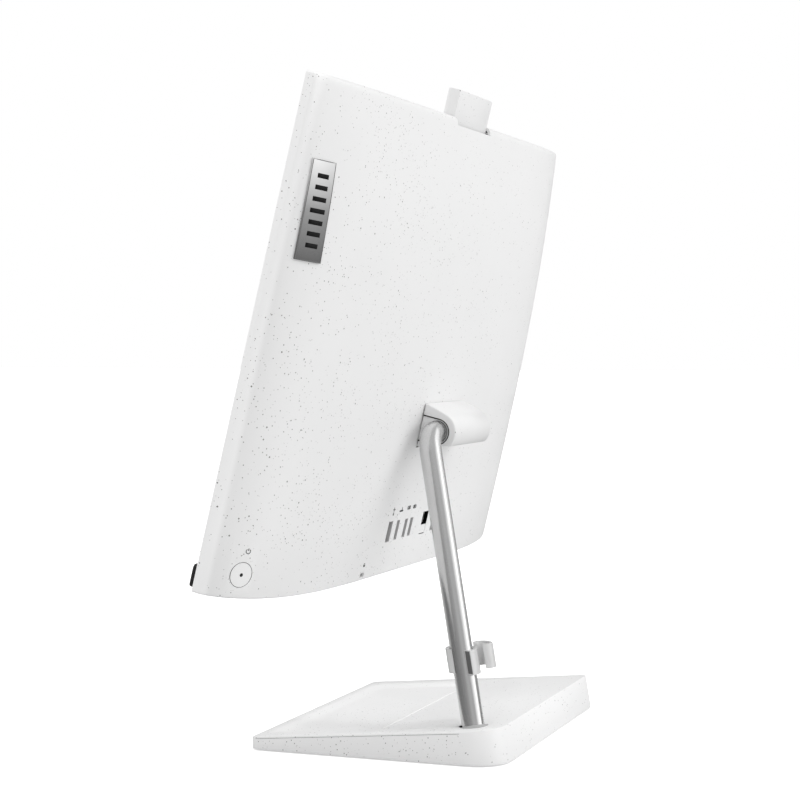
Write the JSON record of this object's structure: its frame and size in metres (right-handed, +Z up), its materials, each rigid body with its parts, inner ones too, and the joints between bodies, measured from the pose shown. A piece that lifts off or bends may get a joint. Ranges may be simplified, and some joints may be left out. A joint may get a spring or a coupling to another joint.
{
  "type": "all-in-one desktop computer",
  "caption": "Tilting flat display with a computer behind its curved white rear cover, a pop-up camera, a bent tube stand, a cable clip and a tray base.",
  "frame": {"origin": "centre of the base's footprint, on the surface it stands on", "axes": "+X along the screen, to the right of a person who faces it; +Y from the screen to the rear; +Z up"},
  "size_m": [0.541, 0.1866, 0.4748],
  "materials": {
    "white_shell": "fine-textured white shell with dark grey speckles",
    "black_plastic": "matte black",
    "grey_plastic": "matte grey",
    "port_plastic": "light grey",
    "clip_plastic": "pale grey, half gloss",
    "panel_glass": "dark switched-off screen",
    "satin_steel": "satin",
    "brushed_metal": "brushed, light at the top and dark at the bottom",
    "aluminium": "plain sheet",
    "copper": "copper",
    "circuit_green": "circuit board",
    "silicon": "dark package",
    "rubber": "matte"
  },
  "bodies": {
    "stand": {"base_cover": "white_shell", "base_bottom": "grey_plastic", "tube_socket": "grey_plastic", "base_weight": "satin_steel", "socket_screw": "satin_steel", "stand_tube": "satin_steel", "hinge_shaft": "satin_steel", "shaft_nut": "satin_steel", "rubber_foot_1": "rubber", "rubber_foot_2": "rubber", "rubber_foot_3": "rubber", "rubber_foot_4": "rubber"},
    "display": {"rear_cover": "white_shell", "chin_panel": "white_shell", "hinge_hood": "white_shell", "hinge_end_cap": "white_shell", "front_bezel": "black_plastic", "speaker_grille": "black_plastic", "left_speaker": "black_plastic", "right_speaker": "black_plastic", "fan_housing": "black_plastic", "camera_guide": "black_plastic", "power_inlet": "black_plastic", "power_switch": "black_plastic", "lan_port": "port_plastic", "lcd_panel": "panel_glass", "mid_chassis": "satin_steel", "usb_port_1": "satin_steel", "usb_port_2": "satin_steel", "usb_port_3": "satin_steel", "usb_port_4": "satin_steel", "hdmi_port": "satin_steel", "lock_slot_plate": "satin_steel", "hinge_bracket": "satin_steel", "hinge_screw_1": "satin_steel", "hinge_screw_2": "satin_steel", "hinge_screw_3": "satin_steel", "hinge_screw_4": "satin_steel", "friction_band_1": "satin_steel", "friction_band_2": "satin_steel", "badge_plate": "brushed_metal", "backlight_tray": "aluminium", "hard_drive": "aluminium", "cold_plate": "copper", "heat_pipe": "copper", "fin_stack": "copper", "main_board": "circuit_green", "memory_module_1": "circuit_green", "memory_module_2": "circuit_green", "solid_state_drive": "circuit_green", "wireless_card": "circuit_green", "panel_driver_board": "circuit_green", "port_board": "circuit_green", "processor": "silicon"},
    "camera": {"camera_housing": "white_shell", "camera_lens": "panel_glass"},
    "power_button": {"power_button": "white_shell"},
    "fan_rotor": {"fan_rotor": "black_plastic"},
    "cable_clip": {"cable_clip": "clip_plastic"}
  },
  "joints": [
    {"name": "display_tilt", "type": "hinge", "parent": "stand", "child": "display", "pos_m": [0, 0.018, 0.225], "axis": [1, 0, 0], "range_deg": [-1.5, 18.5]},
    {"name": "camera_slide", "type": "slide", "parent": "display", "child": "camera", "axis": [0, 0.2379, 0.9713], "range_m": [-0.02, 0]},
    {"name": "power_button_press", "type": "slide", "parent": "display", "child": "power_button", "axis": [-0.5151, -0.8326, 0.2035], "range_m": [0, 0.0008], "stiffness_N_per_m": 1500},
    {"name": "fan_spin", "type": "hinge", "parent": "display", "child": "fan_rotor", "pos_m": [-0.205, -0.02308, 0.24433], "axis": [0, 0.9713, -0.2379], "continuous": true},
    {"name": "cable_clip_slide", "type": "slide", "parent": "stand", "child": "cable_clip", "axis": [-0.186, -0.2254, 0.9563], "range_m": [-0.022, 0.105]}
  ]
}
